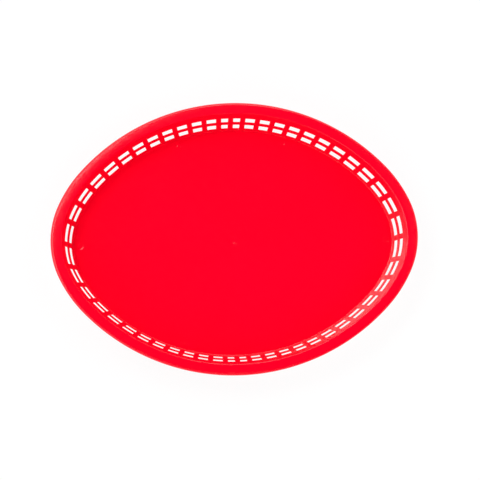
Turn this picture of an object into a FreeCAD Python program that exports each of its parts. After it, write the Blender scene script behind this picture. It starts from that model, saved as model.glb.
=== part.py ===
import FreeCAD
import Part
import os
from math import atan, cos, degrees, radians, sin, tan

# An oval platter basket, moulded in one piece of plastic. A rim with a turned-down lip runs round
# an open, leaning wall, and two rows of windows go through the wall. The origin is at the middle
# of the plane that the basket stands on, with +X along its length and +Z up. Sizes are in
# millimetres and angles in degrees.

# The rim's outline in plan is an oval of arcs that run smoothly into each other: a tight arc round
# each end, a wider one at each of the four shoulders and a long flat one along each side. The
# outline turns through the first two angles before it changes from one arc to the next. The ends
# are tighter than those of an ellipse of the same length and width, by this share in their radius.
length = 323.85
width = 241.3
height = 38.1
end_angle = 24.6
side_angle = 43.0
end_tightness = 0.84

# The rim is a narrow, slightly crowned flange that falls from its crest to its turned-down lip.
rim_width = 9.8
rim_fall = 1.0
rim_crown = 0.28
rim_thickness = 1.5
crest_radius = 1.3
lip_radius = 2.6
lip_depth = 4.6

# The wall leans outwards, so that the basket leaves its mould and stacks in another. It ends in a
# low foot ring, which holds the underside of the base clear of the table.
wall_lean = 15.8
wall_thickness = 0.8
base_thickness = 1.6
corner_radius = 1.0
foot_height = 1.0
foot_land = 2.2

# Two rows of windows are cut through the wall, one over the other, between upright posts. The
# posts point at the middle of the basket and stand closer along the ends of the short axis.
top_band = 10.8
window_height = 8.5
bar_height = 4.6
rows = 2
post_width = 4.7
posts_per_quarter = 12
end_gap_angle = 7.82
side_gap_angle = 5.73

# A rounded edge is drawn as narrow flats between points on its arc, each turned from the last by
# about this much.
flat_turn = 28

UP = FreeCAD.Vector(0, 0, 1)


def plan_point(distance, angle):
    """The point at this distance and angle from the middle, in plan."""
    return FreeCAD.Vector(distance * cos(radians(angle)), distance * sin(radians(angle)), 0)


def oval_arcs():
    """The outline's arcs, anticlockwise, each as its centre, radius, first and last angle."""
    end_radius = end_tightness * width ** 2 / length / 2
    # The two steps from radius to radius are what takes the oval out to its length and its width.
    along = FreeCAD.Vector(cos(radians(end_angle)), cos(radians(side_angle)), 0)
    across = FreeCAD.Vector(1 - sin(radians(end_angle)), 1 - sin(radians(side_angle)), 0)
    turn = along.cross(across).z
    first_step = ((length / 2 - end_radius) * across.y - (width / 2 - end_radius) * along.y) / turn
    second_step = ((width / 2 - end_radius) * along.x - (length / 2 - end_radius) * across.x) / turn
    shoulder_radius = end_radius + first_step
    side_radius = shoulder_radius + second_step
    end_centre = plan_point(length / 2 - end_radius, 0)
    shoulder_centre = end_centre - plan_point(first_step, end_angle)
    side_centre = FreeCAD.Vector(0, width / 2 - side_radius, 0)
    far_shoulder = FreeCAD.Vector(-shoulder_centre.x, shoulder_centre.y, 0)
    half = [
        (end_centre, end_radius, -end_angle, end_angle),
        (shoulder_centre, shoulder_radius, end_angle, side_angle),
        (side_centre, side_radius, side_angle, 180 - side_angle),
        (far_shoulder, shoulder_radius, 180 - side_angle, 180 - end_angle),
    ]
    return half + [(centre * -1, radius, first + 180, last + 180) for centre, radius, first, last in half]


def rounded(corners):
    """The points of a closed outline, from its corners given as (inward, up, radius)."""
    points = []
    for place, (inward, up, radius) in enumerate(corners):
        corner = FreeCAD.Vector(inward, up, 0)
        back = (FreeCAD.Vector(*corners[place - 1][:2], 0) - corner).normalize()
        ahead = (FreeCAD.Vector(*corners[(place + 1) % len(corners)][:2], 0) - corner).normalize()
        opening = back.getAngle(ahead)
        flats = round((180 - degrees(opening)) / flat_turn) if radius else 0
        if not flats:
            points.append(corner)
            continue
        middle = (back + ahead).normalize()
        centre = corner + middle * (radius / sin(opening / 2))
        start = back * (radius / tan(opening / 2)) + corner - centre
        side = start.cross(ahead).cross(start).normalize() * radius
        for step in range(flats + 1):
            turn = (radians(180) - opening) * step / flats
            points.append(centre + start * cos(turn) + side * sin(turn))
    return [(point.x, point.y) for point in points]


def wall_section():
    """The section through rim, wall and foot, as (inward from the outline, up) points."""
    lean = tan(radians(wall_lean))
    slope = atan(rim_fall / rim_width)
    crest_slope = atan((rim_fall - 2 * rim_crown) / rim_width)
    wall_across = wall_thickness / cos(radians(wall_lean))
    rim_across = rim_thickness / cos(slope)
    floor = foot_height + base_thickness
    # Before it is rounded, the rim's crest stands a little above the finished height.
    crest_cut = crest_radius * tan((radians(90 - wall_lean) + crest_slope) / 2)
    crest = height + crest_cut * sin(crest_slope)

    def inside(up):
        return rim_width + (crest - up) * lean

    def outside(up):
        return inside(up) - wall_across

    def under_rim(inward):
        return crest - rim_fall + tan(slope) * inward - rim_across

    # The underside of the rim meets the outside of the wall at this distance from the outline.
    armpit = (rim_width - wall_across + (rim_fall + rim_across) * lean) / (1 + tan(slope) * lean)
    foot_radius = corner_radius + wall_thickness
    foot_inner = outside(0) + foot_radius * tan(radians(90 - wall_lean) / 2) + foot_land
    plate_edge = foot_inner + base_thickness
    return plate_edge, rounded([
        (plate_edge, floor, 0),
        (inside(floor), floor, corner_radius),
        (rim_width, crest, crest_radius),
        (rim_width / 2, crest - rim_fall / 2 + rim_crown, 0),
        (0, crest - rim_fall, lip_radius),
        (0, height - lip_depth, 0),
        (rim_thickness, height - lip_depth, 0),
        (rim_thickness, under_rim(rim_thickness), 0),
        (armpit, under_rim(armpit), 0),
        (outside(0), 0, foot_radius),
        (foot_inner, 0, 0),
        (foot_inner, foot_height, 0),
        (plate_edge, foot_height, 0),
    ])


def rim_and_wall(section):
    """The closed ring of rim, wall and foot: the section turned about each arc's own centre."""
    stretches = []
    for centre, radius, first, last in oval_arcs():
        outward = plan_point(1, first)
        points = [centre + outward * (radius - inward) + UP * up for inward, up in section]
        face = Part.Face(Part.makePolygon(points + points[:1]))
        stretches.append(face.revolve(centre, UP, last - first))
    return stretches


def base_plate(plate_edge):
    """The flat middle of the base, inside the foot ring."""
    edges = []
    for centre, radius, first, last in oval_arcs():
        reach = radius - plate_edge
        ends_and_middle = [centre + plan_point(reach, angle) for angle in (first, (first + last) / 2, last)]
        edges.append(Part.Arc(*ends_and_middle).toShape())
    plate = Part.Face(Part.Wire(edges)).extrude(UP * base_thickness)
    plate.translate(UP * foot_height)
    return plate


def post_angles():
    """Where the posts stand, as angles about the middle of the basket, all the way round."""
    pitch = (90 - end_gap_angle - side_gap_angle) / (posts_per_quarter - 1)
    quarter = [end_gap_angle + pitch * place for place in range(posts_per_quarter)]
    half = [0] + quarter + [90] + [180 - angle for angle in reversed(quarter)]
    return half + [angle + 180 for angle in half] + [360]


def window_cutters():
    """One wedge for each window. Its sides lie along the two posts, so the posts keep one width."""
    angles = post_angles()
    cutters = []
    for first, last in zip(angles, angles[1:]):
        half_gap = radians(last - first) / 2
        tip = plan_point(post_width / 2 / sin(half_gap), (first + last) / 2)
        corners = [tip, tip + plan_point(length / 2, first), tip + plan_point(length / 2, last), tip]
        for row in range(rows):
            sill = height - top_band - window_height - row * (window_height + bar_height)
            wedge = Part.Face(Part.makePolygon(corners)).extrude(UP * window_height)
            wedge.translate(UP * sill)
            cutters.append(wedge)
    return cutters


def basket():
    """The whole moulding, as one solid."""
    plate_edge, section = wall_section()
    stretches = rim_and_wall(section)
    body = stretches[0].multiFuse(stretches[1:] + [base_plate(plate_edge)]).removeSplitter()
    return body.cut(Part.makeCompound(window_cutters())).Solids[0]


os.makedirs("parts", exist_ok=True)
basket().exportStep("parts/basket.step")
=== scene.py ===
from math import atan, cos, pi, radians, sin, tan

import bpy
from mathutils import Matrix, Vector


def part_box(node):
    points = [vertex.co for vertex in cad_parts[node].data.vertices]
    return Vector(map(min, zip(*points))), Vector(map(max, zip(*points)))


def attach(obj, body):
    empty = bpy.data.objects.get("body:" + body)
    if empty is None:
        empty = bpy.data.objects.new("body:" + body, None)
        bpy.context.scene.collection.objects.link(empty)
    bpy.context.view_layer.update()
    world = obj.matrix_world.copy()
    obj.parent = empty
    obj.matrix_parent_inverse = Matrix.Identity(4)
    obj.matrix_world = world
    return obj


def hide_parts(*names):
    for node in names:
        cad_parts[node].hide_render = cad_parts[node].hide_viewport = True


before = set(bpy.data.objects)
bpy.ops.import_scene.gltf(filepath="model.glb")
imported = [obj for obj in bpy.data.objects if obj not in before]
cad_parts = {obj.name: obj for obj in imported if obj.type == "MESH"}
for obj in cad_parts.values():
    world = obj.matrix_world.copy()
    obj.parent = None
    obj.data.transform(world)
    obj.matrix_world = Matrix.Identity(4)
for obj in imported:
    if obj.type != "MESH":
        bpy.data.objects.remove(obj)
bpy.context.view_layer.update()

# The basket's oval. The real basket is one injection moulding of red polypropylene, and its rim is
# an oval of arcs that run into each other: a tight arc round each end, a wider one at each shoulder
# and a long flat one along each side. Its length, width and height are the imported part's.
low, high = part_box("basket")
length = high.x - low.x
width = high.y - low.y
height = high.z
end_angle = radians(24.6)
side_angle = radians(43.0)
end_tightness = 0.84

end_radius = end_tightness * width ** 2 / length / 2
along = (cos(end_angle), cos(side_angle))
across = (1 - sin(end_angle), 1 - sin(side_angle))
turn = along[0] * across[1] - along[1] * across[0]
reach = (length / 2 - end_radius, width / 2 - end_radius)
shoulder_radius = end_radius + (reach[0] * across[1] - reach[1] * along[1]) / turn
side_radius = shoulder_radius + (reach[1] * along[0] - reach[0] * across[0]) / turn
end_centre = Vector((length / 2 - end_radius, 0, 0))
shoulder_centre = end_centre - (shoulder_radius - end_radius) * Vector((cos(end_angle), sin(end_angle), 0))
side_centre = Vector((0, width / 2 - side_radius, 0))

# The basket's section, from the floor up the leaning wall, over the narrow rim, round the
# turned-down lip, back under the rim and down the outside to the low foot ring. A straight-pull
# mould makes it, so the wall leans outwards and every edge that a hand or a liner meets is round.
rim_width = 0.0098
rim_fall = 0.0010
rim_crown = 0.00028
rim_crown_radius = 0.050
rim_thickness = 0.0015
crest_radius = 0.0013
lip_radius = 0.0026
lip_depth = 0.0046
lip_edge_radius = 0.0005
armpit_radius = 0.0010
wall_lean = radians(15.8)
wall_thickness = 0.0008
base_thickness = 0.0016
corner_radius = 0.0010
foot_height = 0.0010
foot_land = 0.0022
foot_edge_radius = 0.0003
arc_step = radians(9)

lean = tan(wall_lean)
rim_slope = atan(rim_fall / rim_width)
crest_slope = atan((rim_fall - 2 * rim_crown) / rim_width)
wall_across = wall_thickness / cos(wall_lean)
rim_across = rim_thickness / cos(rim_slope)
floor_level = foot_height + base_thickness
crest = height + crest_radius * tan((pi / 2 - wall_lean + crest_slope) / 2) * sin(crest_slope)
foot_radius = corner_radius + wall_thickness


def inside(up):
    """How far in from the outline the wall's inner face is, at this height."""
    return rim_width + (crest - up) * lean


def outside(up):
    """The same for the wall's outer face."""
    return inside(up) - wall_across


def under_rim(inward):
    """The height of the rim's underside, at this distance in from the outline."""
    return crest - rim_fall + tan(rim_slope) * inward - rim_across


def rounded(corners):
    """The points of an open outline, from its corners given as (inward, up, radius)."""
    points = [Vector(corners[0][:2])]
    for before, (inward, up, radius), after in zip(corners, corners[1:], corners[2:]):
        corner = Vector((inward, up))
        back = (Vector(before[:2]) - corner).normalized()
        ahead = (Vector(after[:2]) - corner).normalized()
        opening = back.angle(ahead)
        centre = corner + (back + ahead).normalized() * (radius / sin(opening / 2))
        start = back * (radius / tan(opening / 2)) + corner - centre
        side = Vector((-start.y, start.x))
        if side.dot(ahead) < 0:
            side.negate()
        steps = max(2, round((pi - opening) / arc_step))
        angles = [(pi - opening) * step / steps for step in range(steps + 1)]
        points += [centre + start * cos(angle) + side * sin(angle) for angle in angles]
    return points + [Vector(corners[-1][:2])]


# The windows. Two rows of 52 stand one over the other between upright posts, and every post points
# at the middle of the basket. The mould's two halves meet in each window, so its sides are plain
# faces with only a slight round at their edges.
top_band = 0.0108
window_height = 0.0085
bar_height = 0.0046
rows = 2
post_width = 0.0047
posts_per_quarter = 12
end_gap = radians(7.82)
side_gap = radians(5.73)
window_corner = 0.0005
edge_round = 0.00022
window_columns = 5
cell_top = 0.0018
cell_foot = 0.0010

heads = [height - top_band - row * (window_height + bar_height) for row in range(rows)]
sills = [head - window_height for head in heads]
cell_tops = [heads[0] + cell_top] + [(sill + head) / 2 for sill, head in zip(sills, heads[1:])]
cell_feet = cell_tops[1:] + [sills[-1] - cell_foot]

pitch = (pi / 2 - end_gap - side_gap) / (posts_per_quarter - 1)
quarter = [end_gap + pitch * place for place in range(posts_per_quarter)]
half_turn = [0] + quarter + [pi / 2] + [pi - angle for angle in reversed(quarter)]
post_angles = half_turn + [angle + pi for angle in half_turn] + [2 * pi]

# One slice of the moulding runs from the middle of one post to the middle of the next. Each of its
# points is kept as (distance off the line from the basket's middle, distance in from the outline,
# height, share of the turn from post to post, share of the way to the middle).
slice_points = []
slice_faces = []
edge_line = post_width / 2 + window_corner
shares = [step / window_columns for step in range(window_columns + 1)]
columns = [(0, 0)] + [(share, edge_line * (1 - 2 * share)) for share in shares] + [(1, 0)]


def add_grid(grid):
    """Adds rows of points to the slice, with a face between each four neighbours."""
    start = len(slice_points)
    wide = len(grid[0])
    for row in grid:
        slice_points.extend(row)
    for row in range(len(grid) - 1):
        for place in range(wide - 1):
            corner = start + row * wide + place
            slice_faces.append((corner, corner + 1, corner + wide + 1, corner + wide))


def plain_rows(places):
    """One row of points across the slice for each (inward, up, share of the way to the middle)."""
    # The places run clockwise round the section, so the rows are taken from the last to the first.
    # That makes their faces look out of the plastic, as the windows' own do.
    grid = []
    for inward, up, middle in reversed(places):
        grid.append([(off, inward, up, share, middle) for share, off in columns])
    return grid


def window_loop(head, sill, grow, inward_at, depth):
    """The edge of a window at one depth, as points that run round it from its lower left corner."""
    radius = window_corner + grow
    side = post_width / 2 - grow
    quarter_turn = radius * (1 - cos(pi / 4))
    top = head + grow
    foot = sill - grow
    loop = []

    def add(share, off, up):
        loop.append((off, inward_at(up) - depth, up, share, 0))

    for share, way in ((0, 1), (1, -1)):
        ups = [foot + quarter_turn, foot + radius, (top + foot) / 2, top - radius, top - quarter_turn]
        offs = [side + quarter_turn, side, side, side, side + quarter_turn]
        places = list(zip(offs, ups))
        for off, up in places if share == 0 else reversed(places):
            add(share, way * off, up)
        level = top if share == 0 else foot
        line = side + radius
        for part in shares:
            reached = part if share == 0 else 1 - part
            add(reached, line * (1 - 2 * reached), level)
    return loop + loop[:1]


def cell_loop(top, foot, head, sill, inward_at):
    """The plain edge of a window's cell, with a point for each one of the window's own edge."""
    radius = window_corner + edge_round
    side_ups = [foot, sill - edge_round + radius, (head + sill) / 2, head + edge_round - radius, top]
    loop = [(0, inward_at(up), up, 0, 0) for up in side_ups]
    loop += [(off, inward_at(top), top, share, 0) for share, off in columns[1:-1]]
    loop += [(0, inward_at(up), up, 1, 0) for up in reversed(side_ups)]
    loop += [(off, inward_at(foot), foot, share, 0) for share, off in reversed(columns[1:-1])]
    return loop + loop[:1]


bevel = edge_round * (1 - cos(pi / 4))
bevel_in = edge_round / cos(wall_lean)
for head, sill, top, foot in zip(heads, sills, cell_tops, cell_feet):
    add_grid([
        cell_loop(top, foot, head, sill, inside),
        window_loop(head, sill, edge_round, inside, 0),
        window_loop(head, sill, bevel, inside, bevel),
        window_loop(head, sill, 0, inside, bevel_in),
        window_loop(head, sill, 0, inside, wall_across - bevel_in),
        window_loop(head, sill, bevel, inside, wall_across - bevel),
        window_loop(head, sill, edge_round, inside, wall_across),
        cell_loop(top, foot, head, sill, outside),
    ])

armpit = (rim_width - wall_across + (rim_fall + rim_across) * lean) / (1 + tan(rim_slope) * lean)
lip_foot = height - lip_depth
over_rim = rounded([
    (inside(cell_tops[0]), cell_tops[0], 0),
    (rim_width, crest, crest_radius),
    (rim_width / 2, crest - rim_fall / 2 + rim_crown, rim_crown_radius),
    (0, crest - rim_fall, lip_radius),
    (0, lip_foot, lip_edge_radius),
    (rim_thickness, lip_foot, lip_edge_radius),
    (rim_thickness, under_rim(rim_thickness), armpit_radius),
    (armpit, under_rim(armpit), armpit_radius),
    (outside(cell_tops[0]), cell_tops[0], 0),
])
add_grid(plain_rows([(point.x, point.y, 0) for point in over_rim]))

foot_inner = outside(0) + foot_radius * tan((pi / 2 - wall_lean) / 2) + foot_land
plate_edge = foot_inner + base_thickness
under_foot = rounded([
    (outside(cell_feet[-1]), cell_feet[-1], 0),
    (outside(0), 0, foot_radius),
    (foot_inner, 0, foot_edge_radius),
    (foot_inner, foot_height, foot_edge_radius),
    (plate_edge, foot_height, 0),
])
floor_corner = rounded([
    (plate_edge, floor_level, 0),
    (inside(floor_level), floor_level, corner_radius),
    (inside(cell_feet[-1]), cell_feet[-1], 0),
])
plate_shares = [0.05, 0.25, 0.5, 0.75, 0.95, 1]
add_grid(plain_rows(
    [(point.x, point.y, 0) for point in under_foot]
    + [(plate_edge, foot_height, share) for share in plate_shares]
))
add_grid(plain_rows(
    [(plate_edge, floor_level, share) for share in reversed(plate_shares)]
    + [(point.x, point.y, 0) for point in floor_corner]
))


def carry(mesh, name, numbers):
    """Gives each point of a mesh its own number, under this name."""
    mesh.attributes.new(name, "FLOAT", "POINT").data.foreach_set("value", numbers)


slice_mesh = bpy.data.meshes.new("basket_slice")
slice_mesh.from_pydata([point[:3] for point in slice_points], [], slice_faces)
carry(slice_mesh, "share", [point[3] for point in slice_points])
carry(slice_mesh, "middle", [point[4] for point in slice_points])
basket_slice = bpy.data.objects.new("basket_slice", slice_mesh)

# Faint round grooves in the floor, as the mould leaves them: one round each of the six pins that
# push the basket out, and a small one round the gate in the middle, where the plastic comes in.
# A groove is much wider than it is deep, and is cut by a ring of round section.
end_pin_along = 0.136
end_pin_ring = 0.0026
end_pin_groove = 0.0008
side_pin_along = 0.0463
side_pin_across = 0.0874
side_pin_ring = 0.0016
side_pin_groove = 0.0006
gate_ring = 0.0008
gate_groove = 0.00035
width_to_depth = 12
ring_steps = 40
ring_sides = 48

marks = [(0, 0, gate_ring, gate_groove)]
marks += [(way * end_pin_along, 0, end_pin_ring, end_pin_groove) for way in (-1, 1)]
for way_along in (-1, 1):
    for way_across in (-1, 1):
        place = (way_along * side_pin_along, way_across * side_pin_across)
        marks.append(place + (side_pin_ring, side_pin_groove))
ring_points = []
ring_faces = []
for mark_x, mark_y, ring_radius, groove_width in marks:
    groove_depth = groove_width / width_to_depth
    cut_radius = (groove_width ** 2 / 4 + groove_depth ** 2) / (2 * groove_depth)
    cut_level = floor_level + cut_radius - groove_depth
    start = len(ring_points)
    for step in range(ring_steps):
        bearing = 2 * pi * step / ring_steps
        following = (step + 1) % ring_steps
        for side in range(ring_sides):
            tilt = 2 * pi * side / ring_sides
            distance = ring_radius + cut_radius * cos(tilt)
            up = cut_level + cut_radius * sin(tilt)
            ring_points.append((mark_x + distance * cos(bearing), mark_y + distance * sin(bearing), up))
            after = (side + 1) % ring_sides
            corners = ((step, side), (following, side), (following, after), (step, after))
            ring_faces.append([start + ring * ring_sides + place for ring, place in corners])
rings_mesh = bpy.data.meshes.new("pin_marks")
rings_mesh.from_pydata(ring_points, [], ring_faces)
rings_mesh.shade_smooth()
rings = bpy.data.objects.new("pin_marks", rings_mesh)

# The slices stand side by side round the oval, one for each post. Each point goes out along its own
# line from the middle until it meets the oval, taken in by its own distance.
posts_mesh = bpy.data.meshes.new("basket")
posts_mesh.from_pydata([(0, 0, 0)] * (len(post_angles) - 1), [], [])
gaps = [after - before for before, after in zip(post_angles, post_angles[1:])]
carry(posts_mesh, "angle", post_angles[:-1])
carry(posts_mesh, "gap", gaps)
basket = bpy.data.objects.new("basket_moulding", posts_mesh)
bpy.context.scene.collection.objects.link(basket)


def add_node(tree, kind, *values, **settings):
    """A node of this kind with its settings made and its first inputs linked or filled in."""
    node = tree.nodes.new(kind)
    for name, setting in settings.items():
        setattr(node, name, setting)
    for place, value in enumerate(values):
        if isinstance(value, bpy.types.NodeSocket):
            tree.links.new(value, node.inputs[place])
        elif value is not None:
            node.inputs[place].default_value = value
    return node


def maths(tree, operation, *values):
    """One sum on numbers."""
    return add_node(tree, "ShaderNodeMath", *values, operation=operation).outputs[0]


def vector_maths(tree, operation, *values):
    """One sum on vectors, which gives a number for a dot product and a vector for the rest."""
    node = add_node(tree, "ShaderNodeVectorMath", *values, operation=operation)
    return node.outputs["Value" if operation == "DOT_PRODUCT" else "Vector"]


def scaled(tree, vector, factor):
    """A vector times a number."""
    node = add_node(tree, "ShaderNodeVectorMath", vector, operation="SCALE")
    tree.links.new(factor, node.inputs["Scale"])
    return node.outputs[0]


def vector_of(tree, *numbers):
    """A vector from its three numbers."""
    return add_node(tree, "ShaderNodeCombineXYZ", *numbers).outputs[0]


def named(tree, name):
    """A number that each point carries under this name."""
    return add_node(tree, "GeometryNodeInputNamedAttribute", name, data_type="FLOAT").outputs[0]


def add_sockets(tree, way, kind, *names):
    """A group's inputs or outputs of one kind, under these names."""
    for name in names:
        tree.interface.new_socket(name, in_out=way, socket_type="NodeSocket" + kind)


def arc_group():
    """Where a line from the middle meets one arc of the oval, and which way the arc faces there."""
    tree = bpy.data.node_groups.new("meet_arc", "GeometryNodeTree")
    add_sockets(tree, "INPUT", "Vector", "Start", "Heading", "Centre")
    add_sockets(tree, "INPUT", "Float", "Inward", "Radius")
    add_sockets(tree, "OUTPUT", "Vector", "Place")
    add_sockets(tree, "OUTPUT", "Float", "Facing")
    given = tree.nodes.new("NodeGroupInput").outputs
    to_centre = vector_maths(tree, "SUBTRACT", given["Centre"], given["Start"])
    ahead = vector_maths(tree, "DOT_PRODUCT", to_centre, given["Heading"])
    radius = maths(tree, "SUBTRACT", given["Radius"], given["Inward"])
    missed = maths(tree, "SUBTRACT", vector_maths(tree, "DOT_PRODUCT", to_centre, to_centre),
                   maths(tree, "MULTIPLY", ahead, ahead))
    past = maths(tree, "SQRT", maths(tree, "SUBTRACT", maths(tree, "MULTIPLY", radius, radius), missed))
    out = scaled(tree, given["Heading"], maths(tree, "ADD", ahead, past))
    place = vector_maths(tree, "ADD", given["Start"], out)
    from_centre = vector_maths(tree, "SUBTRACT", place, given["Centre"])
    facing = add_node(tree, "ShaderNodeSeparateXYZ", from_centre).outputs
    output = tree.nodes.new("NodeGroupOutput")
    tree.links.new(place, output.inputs["Place"])
    tree.links.new(maths(tree, "ARCTAN2", facing["Y"], facing["X"]), output.inputs["Facing"])
    return tree


def moulding_tree():
    """The whole moulding from its slices, with the oval's sizes as inputs."""
    tree = bpy.data.node_groups.new("oval_basket", "GeometryNodeTree")
    add_sockets(tree, "INPUT", "Geometry", "Posts")
    add_sockets(tree, "INPUT", "Object", "Slice", "Pin marks")
    for arc in ("End", "Shoulder", "Side"):
        add_sockets(tree, "INPUT", "Vector", arc + " centre")
        add_sockets(tree, "INPUT", "Float", arc + " radius")
    add_sockets(tree, "INPUT", "Float", "End angle", "Side angle", "Weld")
    add_sockets(tree, "INPUT", "Material", "Plastic")
    add_sockets(tree, "OUTPUT", "Geometry", "Moulding")
    given = tree.nodes.new("NodeGroupInput").outputs

    # One slice goes on each post, still as the numbers that it keeps and not yet as places.
    piece = add_node(tree, "GeometryNodeObjectInfo", given["Slice"]).outputs["Geometry"]
    placed = tree.nodes.new("GeometryNodeInstanceOnPoints")
    tree.links.new(given["Posts"], placed.inputs["Points"])
    tree.links.new(piece, placed.inputs["Instance"])
    slices = add_node(tree, "GeometryNodeRealizeInstances", placed.outputs[0]).outputs[0]

    position = tree.nodes.new("GeometryNodeInputPosition").outputs[0]
    stored = add_node(tree, "ShaderNodeSeparateXYZ", position).outputs
    off, inward, up = stored["X"], stored["Y"], stored["Z"]
    past_post = maths(tree, "MULTIPLY", named(tree, "share"), named(tree, "gap"))
    angle = maths(tree, "ADD", named(tree, "angle"), past_post)
    cosine = maths(tree, "COSINE", angle)
    sine = maths(tree, "SINE", angle)
    # The oval is the same in each quarter, so each line is folded into the first one for the sums.
    right = maths(tree, "SUBTRACT", 1, maths(tree, "MULTIPLY", 2, maths(tree, "LESS_THAN", cosine, 0)))
    back = maths(tree, "SUBTRACT", 1, maths(tree, "MULTIPLY", 2, maths(tree, "LESS_THAN", sine, 0)))
    quarter_of = vector_of(tree, right, back, 1.0)
    heading = vector_of(tree, cosine, sine, 0.0)
    beside = vector_of(tree, maths(tree, "MULTIPLY", sine, -1), cosine, 0.0)
    folded_heading = vector_maths(tree, "MULTIPLY", heading, quarter_of)
    folded_start = vector_maths(tree, "MULTIPLY", scaled(tree, beside, off), quarter_of)
    # A line meets the end's arc or the side's where it faces within their angles, or else a shoulder's.
    group = arc_group()
    met = {}
    for arc in ("End", "Shoulder", "Side"):
        node = tree.nodes.new("GeometryNodeGroup")
        node.node_tree = group
        for name, value in (("Start", folded_start), ("Heading", folded_heading), ("Inward", inward),
                            ("Centre", given[arc + " centre"]), ("Radius", given[arc + " radius"])):
            tree.links.new(value, node.inputs[name])
        met[arc] = node.outputs
    on_side = maths(tree, "GREATER_THAN", met["Side"]["Facing"], given["Side angle"])
    on_end = maths(tree, "LESS_THAN", met["End"]["Facing"], given["End angle"])
    place = met["Shoulder"]["Place"]
    for chosen, arc in ((on_side, "Side"), (on_end, "End")):
        switch = add_node(tree, "GeometryNodeSwitch", chosen, place, met[arc]["Place"], input_type="VECTOR")
        place = switch.outputs[0]
    # The base is drawn in towards the middle, and each point goes back to its own quarter and height.
    place = scaled(tree, place, maths(tree, "SUBTRACT", 1, named(tree, "middle")))
    place = vector_maths(tree, "MULTIPLY", place, quarter_of)
    place = vector_maths(tree, "ADD", place, vector_of(tree, 0.0, 0.0, up))
    moved = add_node(tree, "GeometryNodeSetPosition", slices, None, place).outputs[0]
    welded = add_node(tree, "GeometryNodeMergeByDistance", moved)
    tree.links.new(given["Weld"], welded.inputs["Distance"])
    # The marks are cut before the plastic is set, so that their faces get it too.
    grooves = add_node(tree, "GeometryNodeObjectInfo", given["Pin marks"]).outputs["Geometry"]
    marked = add_node(tree, "GeometryNodeMeshBoolean", welded.outputs[0], grooves,
                      operation="DIFFERENCE", solver="EXACT")
    smooth = add_node(tree, "GeometryNodeSetShadeSmooth", marked.outputs[0]).outputs[0]
    coloured = add_node(tree, "GeometryNodeSetMaterial", smooth, None, given["Plastic"]).outputs[0]
    tree.links.new(coloured, tree.nodes.new("NodeGroupOutput").inputs[0])
    return tree


def red_plastic():
    """Red polypropylene: one even, deep red with a soft gloss and the faint waves of a moulded skin."""
    darker_red = (0.90, 0.0, 0.014, 1)
    brighter_red = (0.96, 0.0, 0.018, 1)
    refraction = 1.5
    cloud_scale, cloud_detail = 14, 3
    skin_scale, skin_detail = 260, 2
    skin_low, skin_high = 0.3, 0.7
    smoothest, roughest = 0.11, 0.16
    wave_strength, wave_height = 0.02, 0.0003

    material = bpy.data.materials.new("red_polypropylene")
    material.use_nodes = True
    tree = material.node_tree
    shader = tree.nodes["Principled BSDF"]
    shader.inputs["IOR"].default_value = refraction
    place = tree.nodes.new("ShaderNodeTexCoord").outputs["Object"]
    cloud = add_node(tree, "ShaderNodeTexNoise", place)
    cloud.inputs["Scale"].default_value = cloud_scale
    cloud.inputs["Detail"].default_value = cloud_detail
    colour = tree.nodes.new("ShaderNodeMix")
    colour.data_type = "RGBA"
    colour.inputs[6].default_value = darker_red
    colour.inputs[7].default_value = brighter_red
    tree.links.new(cloud.outputs[0], colour.inputs[0])
    tree.links.new(colour.outputs[2], shader.inputs["Base Color"])
    skin = add_node(tree, "ShaderNodeTexNoise", place)
    skin.inputs["Scale"].default_value = skin_scale
    skin.inputs["Detail"].default_value = skin_detail
    gloss = add_node(tree, "ShaderNodeMapRange", skin.outputs[0], skin_low, skin_high, smoothest, roughest)
    tree.links.new(gloss.outputs[0], shader.inputs["Roughness"])
    bump = tree.nodes.new("ShaderNodeBump")
    bump.inputs["Strength"].default_value = wave_strength
    bump.inputs["Distance"].default_value = wave_height
    tree.links.new(skin.outputs[0], bump.inputs["Height"])
    tree.links.new(bump.outputs[0], shader.inputs["Normal"])
    return material


# The tree is run once and its result is kept as a plain mesh. Points of neighbouring slices that lie
# closer than the weld distance become one.
weld_distance = 0.00001
moulding = basket.modifiers.new("moulding", "NODES")
moulding.node_group = moulding_tree()
sockets = {item.name: item.identifier for item in moulding.node_group.interface.items_tree}
for name, value in (
    ("Slice", basket_slice),
    ("Pin marks", rings),
    ("End centre", end_centre),
    ("End radius", end_radius),
    ("Shoulder centre", shoulder_centre),
    ("Shoulder radius", shoulder_radius),
    ("Side centre", side_centre),
    ("Side radius", side_radius),
    ("End angle", end_angle),
    ("Side angle", side_angle),
    ("Weld", weld_distance),
    ("Plastic", red_plastic()),
):
    moulding[sockets[name]] = value
basket.modifiers.new("facets", "WEIGHTED_NORMAL")
evaluated = basket.evaluated_get(bpy.context.evaluated_depsgraph_get())
finished = bpy.data.meshes.new_from_object(evaluated)
basket.modifiers.clear()
basket.data = finished
bpy.data.objects.remove(basket_slice)
bpy.data.objects.remove(rings)
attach(basket, "root")
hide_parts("basket")

# The white sweep that the basket stands on is matt paper. To the camera, and in the gloss of the
# plastic, it glows as plain white, with a trace of the basket's shadow left in it.
floor_reach = 3
paper_white = 0.85
paper_glow = 0.9
corners = [(-floor_reach, -floor_reach, 0), (floor_reach, -floor_reach, 0)]
corners += [(floor_reach, floor_reach, 0), (-floor_reach, floor_reach, 0)]
floor_mesh = bpy.data.meshes.new("floor")
floor_mesh.from_pydata(corners, [], [(0, 1, 2, 3)])
floor = bpy.data.objects.new("floor", floor_mesh)
bpy.context.scene.collection.objects.link(floor)
paper = bpy.data.materials.new("white_paper")
paper.use_nodes = True
tree = paper.node_tree
tree.nodes.clear()
matt = add_node(tree, "ShaderNodeBsdfDiffuse", (paper_white, paper_white, paper_white, 1)).outputs[0]
glow = add_node(tree, "ShaderNodeEmission", (1, 1, 1, 1), 1.0).outputs[0]
path = tree.nodes.new("ShaderNodeLightPath").outputs
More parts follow.
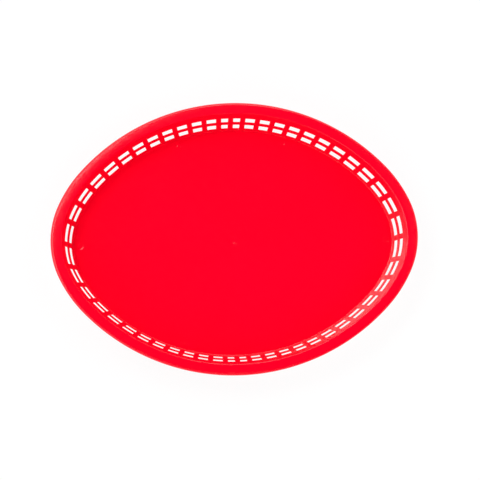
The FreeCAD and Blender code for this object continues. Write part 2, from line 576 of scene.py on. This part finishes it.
in_gloss = maths(tree, "MAXIMUM", path["Is Glossy Ray"], path["Is Transmission Ray"])
seen = maths(tree, "MAXIMUM", path["Is Camera Ray"], in_gloss)
glowing = maths(tree, "MULTIPLY", seen, paper_glow)
mixed = add_node(tree, "ShaderNodeMixShader", glowing, matt, glow).outputs[0]
tree.links.new(mixed, tree.nodes.new("ShaderNodeOutputMaterial").inputs[0])
floor_mesh.materials.append(paper)

# Soft studio light. A white wall that leans in from the back left glows evenly under a dark ceiling,
# and dies away towards the front right. A soft box and a long strip before it put the highlight on
# the lip, and the strip lights the gloss alone. Two wide boxes on the other sides fill the shadows
# and don't show in the gloss. The camera sees plain white all round.
wall_brightness = 1.15
wall_bearing = radians(145)
fade_start = 0.33
fade_end = 0.56
wall_side = Vector((cos(wall_bearing), sin(wall_bearing), 0))
world = bpy.data.worlds.new("studio")
world.use_nodes = True
tree = world.node_tree
outwards = tree.nodes.new("ShaderNodeTexCoord").outputs["Generated"]
# A direction's rise is how high it looks, less how far it looks towards the wall.
rise = vector_maths(tree, "DOT_PRODUCT", outwards, Vector((0, 0, 1)) - wall_side)
wall = add_node(tree, "ShaderNodeMapRange", rise, fade_start, fade_end, wall_brightness, 0.0).outputs[0]
seen = tree.nodes.new("ShaderNodeLightPath").outputs["Is Camera Ray"]
strength = add_node(tree, "ShaderNodeMix", seen, None, wall, 1.0).outputs[0]
tree.links.new(strength, tree.nodes["Background"].inputs["Strength"])
tree.nodes["Background"].inputs["Color"].default_value = (1, 1, 1, 1)
bpy.context.scene.world = world


def soft_box(name, bearing, off_zenith, distance, size, brightness):
    """A rectangular lamp that faces the basket, with its brightness as a multiple of white."""
    lamp = bpy.data.lights.new(name, "AREA")
    lamp.shape = "RECTANGLE"
    lamp.size, lamp.size_y = size
    lamp.energy = brightness * pi * size[0] * size[1]
    box = bpy.data.objects.new(name, lamp)
    turn = radians(bearing)
    tilt = radians(off_zenith)
    direction = Vector((cos(turn) * sin(tilt), sin(turn) * sin(tilt), cos(tilt)))
    box.location = direction * distance
    box.rotation_euler = direction.to_track_quat("Z", "Y").to_euler()
    box.visible_camera = False
    bpy.context.scene.collection.objects.link(box)
    return box


soft_box("key_lamp", bearing=136, off_zenith=30.3, distance=2.2, size=(1.2, 0.55), brightness=7.5)
strip = soft_box("long_lamp", bearing=138, off_zenith=31.3, distance=2.3, size=(4.8, 0.7), brightness=2.2)
strip.visible_diffuse = False
for name, bearing in (("front_lamp", 255), ("right_lamp", 15)):
    fill = soft_box(name, bearing, off_zenith=48, distance=2.6, size=(2.6, 2.4), brightness=2.4)
    fill.visible_glossy = False

# The camera looks down on the basket from high above, a little from the front and the left. Its
# scale holds at the rim, and the shifts put the basket where it lies in the frame, in pixels.
frame_pixels = 480
pixels_per_metre = 1137.2
shift_right = 5.3
shift_up = -1.7
camera_distance = 3.07
farthest_seen = 20
lean_left = radians(-2.35)
lean_front = radians(6.1)
roll = radians(-1.63)
camera_turn = Matrix.Rotation(lean_left, 3, "Y") @ Matrix.Rotation(lean_front, 3, "X")
camera_turn = camera_turn @ Matrix.Rotation(roll, 3, "Z")
camera_data = bpy.data.cameras.new("camera")
camera_data.sensor_width = 36
camera_data.lens = camera_data.sensor_width * camera_distance * pixels_per_metre / frame_pixels
camera_data.shift_x = shift_right / frame_pixels
camera_data.shift_y = shift_up / frame_pixels
camera_data.clip_end = farthest_seen
camera = bpy.data.objects.new("camera", camera_data)
rim_level = Matrix.Translation((0, 0, height))
stand_off = Matrix.Translation((0, 0, camera_distance))
camera.matrix_world = rim_level @ camera_turn.to_4x4() @ stand_off
bpy.context.scene.collection.objects.link(camera)
bpy.context.scene.camera = camera
bpy.context.scene.view_settings.view_transform = "Standard"
